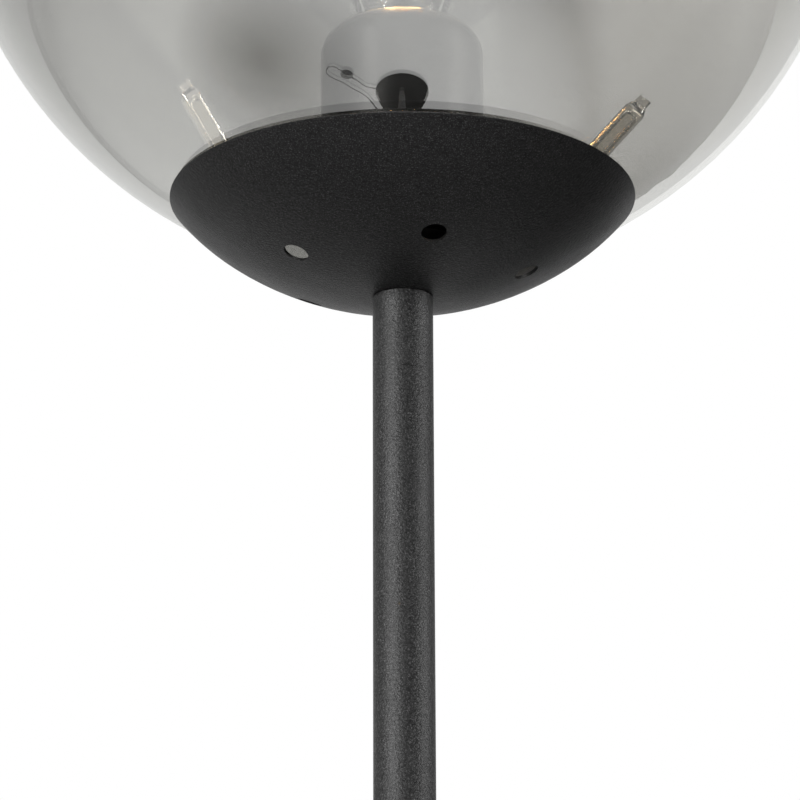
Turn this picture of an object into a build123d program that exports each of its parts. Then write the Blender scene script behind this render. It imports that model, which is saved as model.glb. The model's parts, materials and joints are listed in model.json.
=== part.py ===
from build123d import *
from math import acos, asin, atan, atan2, cos, degrees, hypot, pi, radians, sin, sqrt, tan
import os

# Globe floor lamp. Millimetres. The origin is the middle of the base on the floor, +Z is up, the
# front of the lamp looks along -Y and the mains lead leaves the base on the -X side.

# ---- driving dimensions ----------------------------------------------------------------------
SLIDE_FIT = 0.05           # radial clearance of a part on a nipple or in a tube
SEAT_GAP = 0.15            # clearance between the glass and the metal that carries it

# base
BASE_R = 125.0
BASE_HEIGHT = 25.0
BASE_SHEET = 1.5
BASE_EDGE_R = 5.0          # pressed radius between top and skirt
SKIRT_GAP = 1.0            # skirt edge to floor
PAD_THICKNESS = 2.0
WEIGHT_SIDE_GAP = 2.0      # weight to the inside of the skirt
WEIGHT_WEB = 3.0           # iron left above the well
WELL_R = 22.0
WEIGHT_CHAMFER = 4.0

# pole
POLE_R = 9.5
POLE_WALL = 1.2
SECTION_LENGTH = 405.0
SECTION_COUNT = 3
SECTION_CHAMFER = 0.3
INSERT_LENGTH = 18.0
COUPLER_LENGTH = 30.0

# nipples, nuts and washers (M10 x 1 lamp thread, drawn plain)
NIPPLE_R = 5.0
NIPPLE_BORE_R = 3.6
NUT_FLATS = 14.0
NUT_HEIGHT = 4.0
WASHER_R = 11.0
WASHER_THICKNESS = 1.5
NIPPLE_PROUD = 0.4         # nipple end past its nut

# dish
DISH_RIM_R = 74.1
DISH_FLOOR_R = 100.6       # the floor is part of a sphere
DISH_BEND_START_R = 60.0   # from here out the wall turns up in a tighter arc
DISH_BEND_R = 77.5
DISH_SHEET = 1.0
DISH_EDGE_FILLET = 0.4
VENT_COUNT = 5
VENT_R = 4.0
VENT_CIRCLE_R = 39.0
VENT_FIRST_AZIMUTH = -75.8

# glass ball
GLOBE_R = 150.0
GLOBE_WALL = 2.0
GLOBE_OPENING_R = 69.5

# clip plate and clips
CLIP_COUNT = 3
CLIP_AZIMUTH = -31.3       # arm of the first clip, from +X
CLIP_LEAN_OUT = 43.0       # lean of a clip away from the pole axis
CLIP_LEAN_SIDE = 15.6      # the clips also stand a little askew
CLIP_TOP = 18.5            # top of a clip above the rim plane
CLIP_TO_GLASS = 0.4
PLATE_THICKNESS = 1.0
PLATE_HUB_R = 14.0
KNEE_TO_DISH = 0.43        # clearance of a clip wire, where it bends upwards, from the dish floor
ARM_WIDTH = 11.0
WIRE_R = 0.7
LOOP_WIDTH = 4.4           # leg to leg, on centres
RIVET_R = 1.5
RIVET_HEAD_R = 3.4
RIVET_HEAD_HEIGHT = 1.2
RIVET_INSET = 13.0         # rivet inside the point where a clip leaves its arm
SLEEVE_WIDTH = 7.3
SLEEVE_THICKNESS = 5.2
SLEEVE_WALL = 0.65
SLEEVE_START = 6.0         # open end of the sleeve, along the clip from its arm
TAB_WIDTH = 4.8
TAB_THICKNESS = 1.8
TAB_HEIGHT = 2.4
TAB_TAPER = 2.6

# lampholder cover and lampholder
COVER_R = 26.0
COVER_SHEET = 0.8
COVER_TOP = 58.6           # above the rim plane
COVER_SHOULDER_R = 10.0
COVER_FOOT_R = 2.0
COVER_MOUTH_R = 15.6
HOLDER_R = 19.0
HOLDER_WALL = 2.2
HOLDER_CAP_HEIGHT = 18.0
HOLDER_CAP_BOSS_R = 8.5
HOLDER_CAP_BOSS_HEIGHT = 10.0
HOLDER_TOP_GAP = 6.0       # barrel top below the cover's top
BLOCK_R = 15.5
BLOCK_HEIGHT = 12.0
SHELL_R = 13.55            # inside of the screw shell
SHELL_SHEET = 0.4
SHELL_LENGTH = 22.0
TERMINAL_SCREW_R = 1.6

# bulb
BULB_R = 30.0
BULB_LENGTH = 105.0
BULB_NECK_R = 13.2
BULB_GLASS_WALL = 0.8
CAP_LENGTH = 27.0          # contact tip to the end of the metal cap
CAP_THREAD_R = 13.1
CAP_CORE_R = 12.15
CAP_THREADS = 5
CAP_PITCH = 3.629
CAP_SHEET = 0.5
CAP_SKIRT = 4.0
TIP_R = 4.6
TIP_HEIGHT = 1.6
INSULATOR_HEIGHT = 5.0
FILAMENT_COUNT = 4
FILAMENT_R = 0.9
FILAMENT_LENGTH = 30.0
BULB_BELOW_COVER = 7.5     # end of the metal cap below the top of the lampholder cover

# mains lead
CORD_R = 3.0
CORD_FIT = 0.05
CORD_EXIT_AZIMUTH = 187.0
CORD_EXIT_Z = 8.0
CORD_REST_GAP = 0.1        # lead to floor
GLAND_REACH = 24.0         # tapered sleeve outside the skirt
GLAND_FLANGE_R = 6.5
GLAND_NECK_R = 4.3
CLAMP_RADIUS = 75.0        # cord clamp from the middle of the base
CLAMP_LENGTH = 24.0
CLAMP_WIDTH = 10.0
CLAMP_THICKNESS = 1.8
CLAMP_SCREW_R = 1.5
CLAMP_SCREW_HEAD_R = 2.8
CLAMP_SCREW_HEAD = 0.8
CLAMP_SCREW_OFFSET = 8.0

# foot switch
SWITCH_X, SWITCH_Y = -271.0, -90.0
SWITCH_HEADING = 210.7
SWITCH_R = 31.0
SWITCH_SPLIT_Z = 8.0
SWITCH_HEIGHT = 23.0
SWITCH_WALL = 2.0
SWITCH_EDGE_FILLET = 5.0
RELIEF_LENGTH = 22.0
RELIEF_ROOT_R = 5.2
RELIEF_TIP_R = 3.7
BUTTON_R = 13.0
BUTTON_GAP = 0.4
BUTTON_PROUD = 3.6
BUTTON_DOME = 1.4          # rise of the domed top
BUTTON_FLANGE_R = 15.2
BUTTON_TRAVEL = 3.0
BUTTON_FLANGE = 1.8
BUTTON_WALL = 2.0
BLOCK_LENGTH, BLOCK_WIDTH, SWITCH_BLOCK_TOP = 26.0, 18.0, 12.0
SPRING_R = 5.5
SPRING_WIRE_R = 0.5
SPRING_TURNS = 3
SWITCH_SCREW_R = 1.4
SWITCH_SCREW_HEAD_R = 2.6
SWITCH_SCREW_CIRCLE_R = 24.5

# coil and plug
COIL_X, COIL_Y = -15.0, 177.0
COIL_OUTER_R = 41.0        # first half turn, to the lead's centre line
TURN_SPACING = 6.6         # between neighbouring turns, and between the two layers
HALF_TURNS_IN = 5
HALF_TURNS_OUT = 4
PLUG_X, PLUG_Y, PLUG_Z = 84.0, 160.0, 7.0
PLUG_LENGTH, PLUG_WIDTH, PLUG_HEIGHT = 36.0, 35.3, 13.7
PLUG_RELIEF = 25.0
PIN_R = 2.0
PIN_LENGTH = 19.0
PIN_SPACING = 18.6
PIN_ROOT = 8.0             # length held inside the plug

# ---- places worked out from the driving dimensions ---------------------------------------------
POLE_BOTTOM = BASE_HEIGHT
POLE_TOP = POLE_BOTTOM + SECTION_COUNT * SECTION_LENGTH
DISH_SEAT_R = POLE_R + 0.5
DISH_CENTRE_Z = POLE_TOP + sqrt(DISH_FLOOR_R**2 - DISH_SEAT_R**2)
DISH_FLOOR_Z = POLE_TOP + DISH_SHEET
# The upturned wall is an arc tangent to the floor sphere; where it reaches the rim radius, it ends.
BEND_START_ANGLE = asin(DISH_BEND_START_R / DISH_FLOOR_R)
BEND_CENTRE_R = DISH_BEND_START_R - DISH_BEND_R * sin(BEND_START_ANGLE)
BEND_CENTRE_Z = DISH_CENTRE_Z - (DISH_FLOOR_R - DISH_BEND_R) * cos(BEND_START_ANGLE)
BEND_END_ANGLE = asin((DISH_RIM_R - BEND_CENTRE_R) / DISH_BEND_R)
RIM_Z = BEND_CENTRE_Z - DISH_BEND_R * cos(BEND_END_ANGLE)
RIM_SLOPE = acos((BEND_CENTRE_Z - RIM_Z) / (DISH_BEND_R - DISH_SHEET))
DISH_INNER_R = BEND_CENTRE_R + (DISH_BEND_R - DISH_SHEET) * sin(RIM_SLOPE)

# The ball rests on the inner rounding of the rim, which it touches as a circle.
RIM_CONTACT_R = DISH_INNER_R + DISH_EDGE_FILLET * (1 - cos(RIM_SLOPE)) / sin(RIM_SLOPE)
GLOBE_CENTRE_Z = (
    RIM_Z
    - DISH_EDGE_FILLET
    + sqrt((GLOBE_R + SEAT_GAP + DISH_EDGE_FILLET) ** 2 - RIM_CONTACT_R**2)
)
GLOBE_MID_R = GLOBE_R - GLOBE_WALL / 2
GLOBE_EDGE_ANGLE = asin(GLOBE_OPENING_R / sqrt(GLOBE_MID_R**2 + (GLOBE_WALL / 2) ** 2)) + atan(
    GLOBE_WALL / 2 / GLOBE_MID_R
)
GLOBE_EDGE_R = GLOBE_MID_R * sin(GLOBE_EDGE_ANGLE)
GLOBE_EDGE_Z = GLOBE_CENTRE_Z - GLOBE_MID_R * cos(GLOBE_EDGE_ANGLE)

LEAN = radians(CLIP_LEAN_OUT)
OUT_SLOPE = tan(LEAN)
SIDE_SLOPE = tan(radians(CLIP_LEAN_SIDE))
# The middle line of a clip passes the rounded glass edge at half a sleeve and the clearance.
CLIP_EDGE_DISTANCE = SLEEVE_WIDTH / 2 + GLOBE_WALL / 2 + CLIP_TO_GLASS
CLIP_RIM_R = (
    GLOBE_EDGE_R
    - CLIP_EDGE_DISTANCE * cos(LEAN)
    - (GLOBE_EDGE_Z + CLIP_EDGE_DISTANCE * sin(LEAN) - RIM_Z) * OUT_SLOPE
)
# The outer leg comes down on a straight line until it is at its clearance from the dish floor;
# the line is followed from its point at the height of the centre of the floor sphere.
LEG_LINE_R = CLIP_RIM_R + LOOP_WIDTH / 2 / cos(LEAN) + (DISH_CENTRE_Z - RIM_Z) * OUT_SLOPE
KNEE_SPHERE_R = DISH_FLOOR_R - DISH_SHEET - WIRE_R - KNEE_TO_DISH
LEG_LINE_LENGTH = LEG_LINE_R * sin(LEAN) + sqrt(KNEE_SPHERE_R**2 - (LEG_LINE_R * cos(LEAN)) ** 2)
ARM_REACH = LEG_LINE_R - LEG_LINE_LENGTH * sin(LEAN)
WIRE_FOOT_Z = DISH_CENTRE_Z - LEG_LINE_LENGTH * cos(LEAN)
PLATE_TOP = WIRE_FOOT_Z - WIRE_R
RIVET_CIRCLE_R = ARM_REACH - RIVET_INSET
EYE_R = RIVET_R + WIRE_R + 0.15

COVER_BOTTOM_Z = PLATE_TOP
COVER_TOP_Z = RIM_Z + COVER_TOP
HOLDER_TOP_Z = COVER_TOP_Z - HOLDER_TOP_GAP
COVER_NUT_TOP = COVER_BOTTOM_Z + COVER_SHEET + WASHER_THICKNESS + NUT_HEIGHT
HOLDER_BOTTOM_Z = COVER_NUT_TOP + 2.0
BARREL_BOTTOM_Z = HOLDER_BOTTOM_Z + HOLDER_CAP_HEIGHT
TOP_NIPPLE_END = HOLDER_BOTTOM_Z + HOLDER_CAP_BOSS_HEIGHT
CAP_TOP_Z = COVER_TOP_Z - BULB_BELOW_COVER
TIP_Z = CAP_TOP_Z - CAP_LENGTH
BULB_CENTRE_Z = TIP_Z + BULB_LENGTH - BULB_R
BLOCK_BOTTOM_Z = TOP_NIPPLE_END + 2.5
CONTACT_Z = BLOCK_BOTTOM_Z + BLOCK_HEIGHT

WEIGHT_R = BASE_R - BASE_SHEET - WEIGHT_SIDE_GAP
WEIGHT_TOP = BASE_HEIGHT - BASE_SHEET
WELL_TOP = WEIGHT_TOP - WEIGHT_WEB
BASE_NIPPLE_END = WELL_TOP - WASHER_THICKNESS - NUT_HEIGHT - NIPPLE_PROUD
CORD_BEND_R = BASE_NIPPLE_END - CORD_EXIT_Z
GLAND_TIP = BASE_R + GLAND_REACH
CORD_FLOOR_Z = CORD_R + CORD_REST_GAP
SWITCH_CORD_Z = SWITCH_SPLIT_Z
SWITCH_TIP = SWITCH_R + RELIEF_LENGTH
BUTTON_TOP_Z = SWITCH_HEIGHT + BUTTON_PROUD
COVER_UNDERSIDE_Z = SWITCH_HEIGHT - SWITCH_WALL

STAND = (Align.CENTER, Align.CENTER, Align.MIN)
BASE_FRAME = Rot(0, 0, CORD_EXIT_AZIMUTH)
SWITCH_FRAME = Pos(SWITCH_X, SWITCH_Y, 0) * Rot(0, 0, SWITCH_HEADING)
PLUG_FRAME = Pos(PLUG_X, PLUG_Y, PLUG_Z)


# ---- small helpers -------------------------------------------------------------------------------
def rod(radius, bottom, top):
    return Pos(0, 0, bottom) * Cylinder(radius, top - bottom, align=STAND)


def ring(outer, inner, bottom, top):
    return rod(outer, bottom, top) - rod(inner, bottom, top)


def turned(*edges):
    """Solid of revolution about the Z axis from a closed outline of (radius, height) edges."""
    return revolve(Plane.XZ * make_face(list(edges)), Axis.Z)


def turned_points(*points):
    return turned(Polyline(*points, close=True))


def hexagon_nut(bottom):
    blank = extrude(Pos(0, 0, bottom) * RegularPolygon(NUT_FLATS / 2, 6, major_radius=False), NUT_HEIGHT)
    return blank - rod(NIPPLE_R + SLIDE_FIT, bottom, bottom + NUT_HEIGHT)


def washer(bottom, radius=WASHER_R):
    return ring(radius, NIPPLE_R + SLIDE_FIT, bottom, bottom + WASHER_THICKNESS)


def nipple(bottom, top):
    return ring(NIPPLE_R, NIPPLE_BORE_R, bottom, top)


def dome_arc(radius, rise, top):
    """Arc from the rim of a shallow dome up to its middle on the axis."""
    sphere_r = (radius**2 + rise**2) / (2 * rise)
    half = radius / 2
    return ThreePointArc(
        (radius, top - rise), (half, top - sphere_r + sqrt(sphere_r**2 - half**2)), (0, top)
    )


def around(count, first=0.0):
    return [first + index * 360 / count for index in range(count)]


# ---- base ------------------------------------------------------------------------------------------
def base_cover():
    inner_r = BASE_R - BASE_SHEET
    inner_edge_r = BASE_EDGE_R - BASE_SHEET
    edge_x, edge_z = BASE_R - BASE_EDGE_R, BASE_HEIGHT - BASE_EDGE_R
    hole_r = NIPPLE_R + SLIDE_FIT
    cover = turned(
        Line((hole_r, BASE_HEIGHT), (edge_x, BASE_HEIGHT)),
        CenterArc((edge_x, edge_z), BASE_EDGE_R, 90, -90),
        Line((BASE_R, edge_z), (BASE_R, SKIRT_GAP)),
        Line((BASE_R, SKIRT_GAP), (inner_r, SKIRT_GAP)),
        Line((inner_r, SKIRT_GAP), (inner_r, edge_z)),
        CenterArc((edge_x, edge_z), inner_edge_r, 0, 90),
        Line((edge_x, WEIGHT_TOP), (hole_r, WEIGHT_TOP)),
        Line((hole_r, WEIGHT_TOP), (hole_r, BASE_HEIGHT)),
    )
    exit_hole = Pos(BASE_R, 0, CORD_EXIT_Z) * Rot(0, 90, 0) * Cylinder(GLAND_NECK_R + SLIDE_FIT, 20)
    return cover - BASE_FRAME * exit_hole


def base_weight():
    weight = turned_points(
        (NIPPLE_R + SLIDE_FIT, WEIGHT_TOP),
        (WEIGHT_R - WEIGHT_CHAMFER, WEIGHT_TOP),
        (WEIGHT_R, WEIGHT_TOP - WEIGHT_CHAMFER),
        (WEIGHT_R, PAD_THICKNESS),
        (WELL_R, PAD_THICKNESS),
        (WELL_R, WELL_TOP),
        (NIPPLE_R + SLIDE_FIT, WELL_TOP),
    )
    groove_top = CORD_EXIT_Z + CORD_R + 1.0
    groove = Pos(WELL_R - 4, 0, PAD_THICKNESS) * Box(
        WEIGHT_R, 2 * CORD_R + 2, groove_top - PAD_THICKNESS, align=(Align.MIN, Align.CENTER, Align.MIN)
    )
    pocket_depth = CORD_EXIT_Z - CORD_R - PAD_THICKNESS
    pocket = Pos(CLAMP_RADIUS, 0, PAD_THICKNESS) * Box(
        CLAMP_WIDTH + 2, CLAMP_LENGTH + 2, pocket_depth, align=STAND
    )
    weight -= BASE_FRAME * (groove + pocket)
    for side in (-1, 1):
        weight -= BASE_FRAME * Pos(CLAMP_RADIUS, side * CLAMP_SCREW_OFFSET, 0) * rod(
            CLAMP_SCREW_R + SLIDE_FIT, PAD_THICKNESS, CORD_EXIT_Z + 6
        )
    return weight


def base_pad():
    return rod(WEIGHT_R, 0, PAD_THICKNESS)


def cord_gland():
    """Tapered sleeve in the skirt: a flange inside, a neck through the hole, a taper outside."""
    inner_face = sqrt((BASE_R - BASE_SHEET) ** 2 - GLAND_FLANGE_R**2)
    bore = CORD_R + CORD_FIT
    sleeve = turned_points(
        (bore, inner_face - 1.4),
        (GLAND_FLANGE_R, inner_face - 1.4),
        (GLAND_FLANGE_R, inner_face),
        (GLAND_NECK_R, inner_face),
        (GLAND_NECK_R, BASE_R + 0.02),
        (6.0, BASE_R + 0.02),
        (6.0, BASE_R + 2.0),
        (5.2, BASE_R + 3.0),
        (CORD_R + 0.8, GLAND_TIP),
        (bore, GLAND_TIP),
    )
    return BASE_FRAME * Pos(0, 0, CORD_EXIT_Z) * Rot(0, 90, 0) * sleeve


def cord_clamp():
    top = CORD_EXIT_Z - CORD_R - 0.02
    plate = Pos(CLAMP_RADIUS, 0, top - CLAMP_THICKNESS) * Box(
        CLAMP_WIDTH, CLAMP_LENGTH, CLAMP_THICKNESS, align=STAND
    )
    plate = fillet(plate.edges().filter_by(Axis.Z), 2.0)
    for side in (-1, 1):
        plate -= Pos(CLAMP_RADIUS, side * CLAMP_SCREW_OFFSET, 0) * rod(CLAMP_SCREW_R + SLIDE_FIT, 0, top)
    return BASE_FRAME * plate


def cord_clamp_screws():
    seat = CORD_EXIT_Z - CORD_R - 0.02 - CLAMP_THICKNESS
    screws = []
    for side in (-1, 1):
        screw = rod(CLAMP_SCREW_HEAD_R, seat - CLAMP_SCREW_HEAD, seat) + rod(
            CLAMP_SCREW_R, seat, CORD_EXIT_Z + 5
        )
        screws.append(BASE_FRAME * Pos(CLAMP_RADIUS, side * CLAMP_SCREW_OFFSET, 0) * screw)
    return Compound(children=[part.solid() for part in screws])


# ---- pole ------------------------------------------------------------------------------------------
def section_bottom(index):
    return POLE_BOTTOM + index * SECTION_LENGTH


def pole_section(index):
    bottom = section_bottom(index)
    tube = ring(POLE_R, POLE_R - POLE_WALL, bottom, bottom + SECTION_LENGTH)
    outer_edges = [edge for edge in tube.edges().filter_by(GeomType.CIRCLE) if edge.radius > POLE_R - 0.1]
    return chamfer(outer_edges, SECTION_CHAMFER)


def pole_inserts():
    inserts = []
    for index in range(SECTION_COUNT):
        for bottom in (section_bottom(index), section_bottom(index + 1) - INSERT_LENGTH):
            inserts.append(
                ring(POLE_R - POLE_WALL - 0.02, NIPPLE_R + SLIDE_FIT, bottom, bottom + INSERT_LENGTH)
            )
    return Compound(children=[part.solid() for part in inserts])


def pole_coupler(index):
    joint = section_bottom(index + 1)
    return nipple(joint - COUPLER_LENGTH / 2, joint + COUPLER_LENGTH / 2)


# ---- dish and what hangs on its nipple ------------------------------------------------------------
def floor_point(inset, angle):
    """Point (radius, height) of the dish floor, angle from straight down, moved in by the inset."""
    radius = DISH_FLOOR_R - inset
    return (radius * sin(angle), DISH_CENTRE_Z - radius * cos(angle))


def bend_point(inset, angle):
    """The same for the upturned wall of the dish."""
    radius = DISH_BEND_R - inset
    return (BEND_CENTRE_R + radius * sin(angle), BEND_CENTRE_Z - radius * cos(angle))


def dish_side(inset, seat_z):
    """Floor arc and wall arc of one face of the sheet, with the points they start and end at."""
    seat_angle = acos((DISH_CENTRE_Z - seat_z) / (DISH_FLOOR_R - inset))
    rim_angle = acos((BEND_CENTRE_Z - RIM_Z) / (DISH_BEND_R - inset))
    seat = floor_point(inset, seat_angle)
    mid_floor = floor_point(inset, (seat_angle + BEND_START_ANGLE) / 2)
    bend_start = floor_point(inset, BEND_START_ANGLE)
    mid_bend = bend_point(inset, (BEND_START_ANGLE + rim_angle) / 2)
    rim = bend_point(inset, rim_angle)
    arcs = [ThreePointArc(seat, mid_floor, bend_start), ThreePointArc(bend_start, mid_bend, rim)]
    return seat, arcs, rim


def dish():
    hole_r = NIPPLE_R + SLIDE_FIT
    outer_seat, outer_arcs, outer_rim = dish_side(0, POLE_TOP)
    inner_seat, inner_arcs, inner_rim = dish_side(DISH_SHEET, DISH_FLOOR_Z)
    shell = turned(
        Line((hole_r, POLE_TOP), outer_seat),
        *outer_arcs,
        Line(outer_rim, inner_rim),
        *inner_arcs,
        Line(inner_seat, (hole_r, DISH_FLOOR_Z)),
        Line((hole_r, DISH_FLOOR_Z), (hole_r, POLE_TOP)),
    )
    rim_edges = shell.edges().filter_by(GeomType.CIRCLE).sort_by(Axis.Z)[-2:]
    shell = fillet(rim_edges, DISH_EDGE_FILLET)
    height = DISH_CENTRE_Z - sqrt(DISH_FLOOR_R**2 - VENT_CIRCLE_R**2)
    for azimuth in around(VENT_COUNT, VENT_FIRST_AZIMUTH):
        x, y = VENT_CIRCLE_R * cos(radians(azimuth)), VENT_CIRCLE_R * sin(radians(azimuth))
        square_on = Plane(origin=(x, y, height), z_dir=(x, y, height - DISH_CENTRE_Z))
        shell -= square_on * Cylinder(VENT_R, 4 * DISH_SHEET)
    return shell


def clip_plate():
    plate = rod(PLATE_HUB_R, PLATE_TOP - PLATE_THICKNESS, PLATE_TOP)
    arm_end = RIVET_CIRCLE_R + ARM_WIDTH / 2
    for azimuth in around(CLIP_COUNT, CLIP_AZIMUTH):
        arm = Pos(0, 0, PLATE_TOP - PLATE_THICKNESS) * Box(
            arm_end - ARM_WIDTH / 2, ARM_WIDTH, PLATE_THICKNESS, align=(Align.MIN, Align.CENTER, Align.MIN)
        )
        arm += Pos(RIVET_CIRCLE_R, 0, 0) * rod(ARM_WIDTH / 2, PLATE_TOP - PLATE_THICKNESS, PLATE_TOP)
        plate += Rot(0, 0, azimuth) * arm
    for azimuth in around(CLIP_COUNT, CLIP_AZIMUTH):
        hole = Pos(RIVET_CIRCLE_R, EYE_R, 0) * rod(
            RIVET_R + SLIDE_FIT, PLATE_TOP - PLATE_THICKNESS, PLATE_TOP
        )
        plate -= Rot(0, 0, azimuth) * hole
    return plate - rod(NIPPLE_R + SLIDE_FIT, PLATE_TOP - PLATE_THICKNESS, PLATE_TOP)


def clip_axes():
    """Unit vectors of a clip on the +X arm: along its legs, across them towards the pole, and its knee."""
    along = Vector(OUT_SLOPE, SIDE_SLOPE, 1).normalized()
    across = Vector(-cos(LEAN), 0, sin(LEAN))
    knee = Vector(ARM_REACH, 0, WIRE_FOOT_Z)
    return along, across, knee


def clip_length():
    """From the knee to the top of the sleeve's tab, along the clip."""
    along, _, knee = clip_axes()
    return (RIM_Z + CLIP_TOP - knee.Z) / along.Z


def clip_foot(azimuth):
    """The held end of a clip's wire: an eye round its rivet and a straight foot along the arm."""
    eye = CenterArc((RIVET_CIRCLE_R, EYE_R), EYE_R, 20, 250)
    foot = Line((RIVET_CIRCLE_R, 0), (ARM_REACH - WIRE_R - 0.02, 0))
    path = Pos(0, 0, WIRE_FOOT_Z) * Wire([eye.edge(), foot.edge()])
    wire = sweep(Plane(origin=path @ 0, z_dir=path % 0) * Circle(WIRE_R), path=path)
    return Rot(0, 0, azimuth) * wire


def clip_spring(azimuth):
    """The springing end of the same wire: a narrow loop that leans outwards from the knee, which is
    rounded so that the loop can turn on it."""
    along, across, knee = clip_axes()
    loop_top = clip_length() - TAB_HEIGHT - TAB_TAPER - WIRE_R - 0.3
    corner_out = knee + along * loop_top
    corner_in = corner_out + across * LOOP_WIDTH
    free_end = corner_in - along * (loop_top - SLEEVE_START)
    tip_fillet = LOOP_WIDTH / 2 - 0.05
    path = FilletPolyline(knee, corner_out, corner_in, free_end, radius=tip_fillet)
    wire = sweep(Plane(origin=knee, z_dir=along) * Circle(WIRE_R), path=path)
    wire += Pos(*knee) * Sphere(WIRE_R)
    return Rot(0, 0, azimuth) * wire


def clip_sleeve(azimuth):
    """Clear flattened tube over the loop, pinched shut at the top into a narrower notched tab."""
    along, across, knee = clip_axes()
    middle = knee + across * (LOOP_WIDTH / 2)
    length = clip_length()
    shoulder = length - TAB_HEIGHT - TAB_TAPER
    inner_width = SLEEVE_WIDTH - 2 * SLEEVE_WALL
    inner_thickness = SLEEVE_THICKNESS - 2 * SLEEVE_WALL
    outline = SlotOverall(SLEEVE_WIDTH, SLEEVE_THICKNESS)
    body = extrude(Pos(0, 0, SLEEVE_START) * outline, shoulder - SLEEVE_START)
    tab = SlotOverall(TAB_WIDTH, TAB_THICKNESS)
    body += loft([Pos(0, 0, shoulder) * outline, Pos(0, 0, shoulder + TAB_TAPER) * tab])
    body += extrude(Pos(0, 0, shoulder + TAB_TAPER) * tab, TAB_HEIGHT)
    notch = Pos(0.7, 0, length) * Rot(0, 45, 0) * Box(1.1, TAB_THICKNESS * 2, 1.1)
    cavity = extrude(
        Pos(0, 0, SLEEVE_START - 1) * SlotOverall(inner_width, inner_thickness), shoulder - SLEEVE_START + 1
    )
    sleeve = body - notch - cavity
    frame = Plane(origin=middle, x_dir=across, z_dir=along)
    return Rot(0, 0, azimuth) * frame.location * sleeve


def clip_rivets():
    rivets = []
    below = PLATE_TOP - PLATE_THICKNESS
    above = PLATE_TOP + 2 * WIRE_R + 0.02
    for azimuth in around(CLIP_COUNT, CLIP_AZIMUTH):
        rivet = rod(RIVET_R, below, above)
        rivet += rod(RIVET_HEAD_R, above, above + RIVET_HEAD_HEIGHT)
        rivet += rod(RIVET_HEAD_R - 0.8, below - 0.9, below)
        head_edge = rivet.edges().filter_by(GeomType.CIRCLE).sort_by(Axis.Z)[-1]
        rivet = fillet(head_edge, 0.8)
        rivets.append(Rot(0, 0, azimuth) * Pos(RIVET_CIRCLE_R, EYE_R, 0) * rivet)
    return Compound(children=[part.solid() for part in rivets])


def head_nuts():
    """One nut on the dish floor, one under the clip plate and one inside the lampholder cover."""
    plate_bottom = PLATE_TOP - PLATE_THICKNESS
    bottoms = (
        DISH_FLOOR_Z + WASHER_THICKNESS,
        plate_bottom - NUT_HEIGHT,
        COVER_BOTTOM_Z + COVER_SHEET + WASHER_THICKNESS,
    )
    return Compound(children=[hexagon_nut(bottom).solid() for bottom in bottoms])


def head_washers():
    bottoms = ((DISH_FLOOR_Z, DISH_SEAT_R - 1.0), (COVER_BOTTOM_Z + COVER_SHEET, WASHER_R))
    return Compound(children=[washer(bottom, radius).solid() for bottom, radius in bottoms])


# ---- lampholder --------------------------------------------------------------------------------------
def lampholder_cover():
    sheet, foot, shoulder = COVER_SHEET, COVER_FOOT_R, COVER_SHOULDER_R
    hole_r = NIPPLE_R + SLIDE_FIT
    foot_x, foot_z = COVER_R - foot, COVER_BOTTOM_Z + foot
    shoulder_x, shoulder_z = COVER_R - shoulder, COVER_TOP_Z - shoulder
    return turned(
        Line((hole_r, COVER_BOTTOM_Z), (foot_x, COVER_BOTTOM_Z)),
        CenterArc((foot_x, foot_z), foot, 270, 90),
        Line((COVER_R, foot_z), (COVER_R, shoulder_z)),
        CenterArc((shoulder_x, shoulder_z), shoulder, 0, 90),
        Line((shoulder_x, COVER_TOP_Z), (COVER_MOUTH_R, COVER_TOP_Z)),
        Line((COVER_MOUTH_R, COVER_TOP_Z), (COVER_MOUTH_R, COVER_TOP_Z - sheet)),
        Line((COVER_MOUTH_R, COVER_TOP_Z - sheet), (shoulder_x, COVER_TOP_Z - sheet)),
        CenterArc((shoulder_x, shoulder_z), shoulder - sheet, 90, -90),
        Line((COVER_R - sheet, shoulder_z), (COVER_R - sheet, foot_z)),
        CenterArc((foot_x, foot_z), foot - sheet, 0, -90),
        Line((foot_x, COVER_BOTTOM_Z + sheet), (hole_r, COVER_BOTTOM_Z + sheet)),
        Line((hole_r, COVER_BOTTOM_Z + sheet), (hole_r, COVER_BOTTOM_Z)),
    )


def lampholder_cap():
    """Cup that screws on the nipple and carries the barrel."""
    wall = HOLDER_WALL
    hole_r = NIPPLE_R + SLIDE_FIT
    bottom, top, boss_top = HOLDER_BOTTOM_Z, BARREL_BOTTOM_Z, TOP_NIPPLE_END
    return turned_points(
        (hole_r, bottom),
        (HOLDER_R - 5, bottom),
        (HOLDER_R, bottom + 6),
        (HOLDER_R, top),
        (HOLDER_R - wall, top),
        (HOLDER_R - wall, bottom + 7),
        (HOLDER_R - 6, bottom + wall),
        (HOLDER_CAP_BOSS_R, bottom + wall),
        (HOLDER_CAP_BOSS_R, boss_top),
        (hole_r, boss_top),
    )


def terminal_block():
    """Disc that carries the contacts, with two screw towers and the well that the lead ends in."""
    bottom, top = BLOCK_BOTTOM_Z, CONTACT_Z
    block = turned_points(
        (CORD_R + 0.4, bottom),
        (BLOCK_R, bottom),
        (BLOCK_R, BARREL_BOTTOM_Z),
        (HOLDER_R - HOLDER_WALL, BARREL_BOTTOM_Z),
        (HOLDER_R - HOLDER_WALL, top), (0, top), (0, bottom + 6), (CORD_R + 0.4, bottom + 6),
    )
    for side in (-1, 1):
        block -= Pos(0, side * 10.5, 0) * rod(TERMINAL_SCREW_R + SLIDE_FIT, top - 8, top)
    return block


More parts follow.
